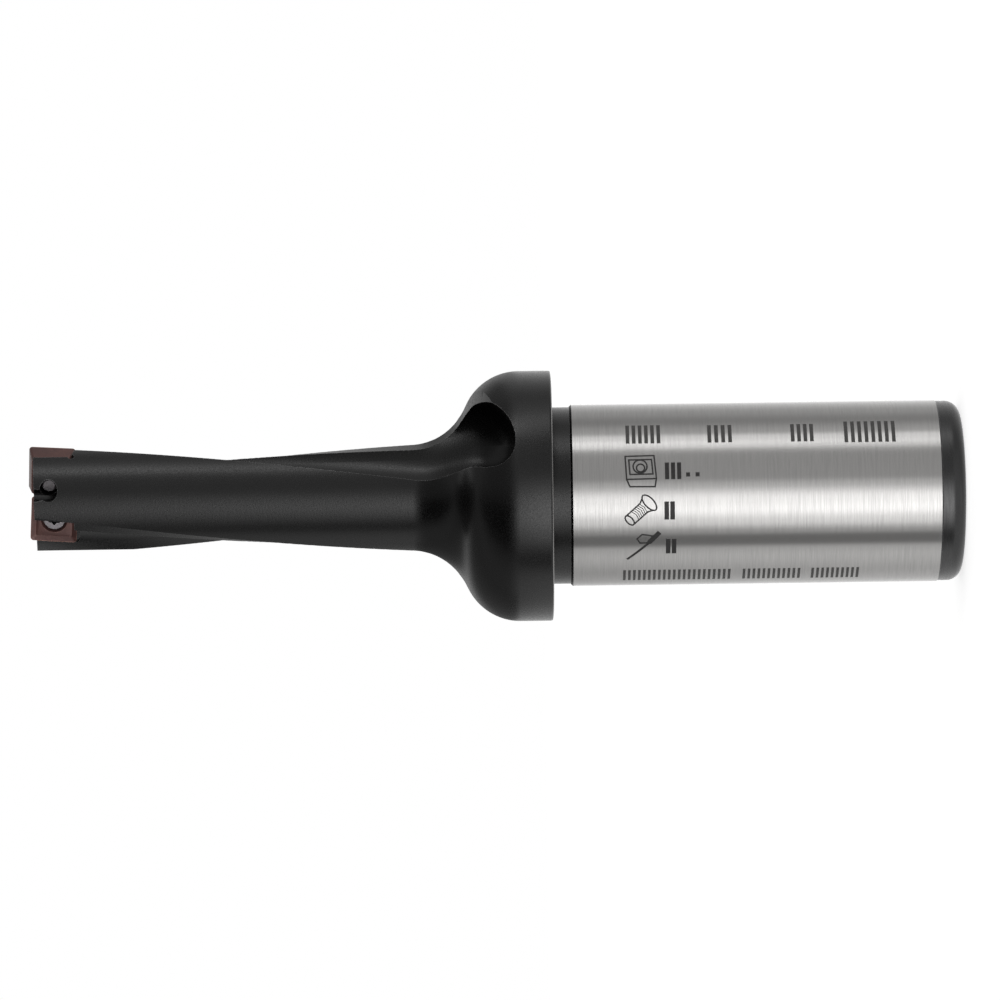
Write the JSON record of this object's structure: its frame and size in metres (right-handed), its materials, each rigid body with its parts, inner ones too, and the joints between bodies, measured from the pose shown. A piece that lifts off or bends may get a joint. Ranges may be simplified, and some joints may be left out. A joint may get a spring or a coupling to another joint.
{
  "type": "indexable drill",
  "caption": "Indexable drill with helical flutes, screwed-on carbide inserts at its tip, a domed stop flange and a ground cylindrical shank.",
  "frame": {"origin": "centre of the shank's end face, at the bottom of the tool as it stands", "axes": "+Z along the drill's axis from the shank to the cutting tip; +X points to the outer insert's cutting edge; the drill cuts turning anticlockwise seen from the tip"},
  "size_m": [0.0344, 0.0344, 0.128],
  "materials": {
    "tool_steel": "black oxide on the fluted part, the flange and the end, fine-ground bright on the shank",
    "coated_carbide": "reddish-brown coated carbide",
    "screw_steel": "grey hardened steel"
  },
  "bodies": {
    "root": {"drill_body": "tool_steel", "outer_insert": "coated_carbide", "inner_insert": "coated_carbide", "outer_insert_screw": "screw_steel", "inner_insert_screw": "screw_steel"}
  },
  "joints": []
}
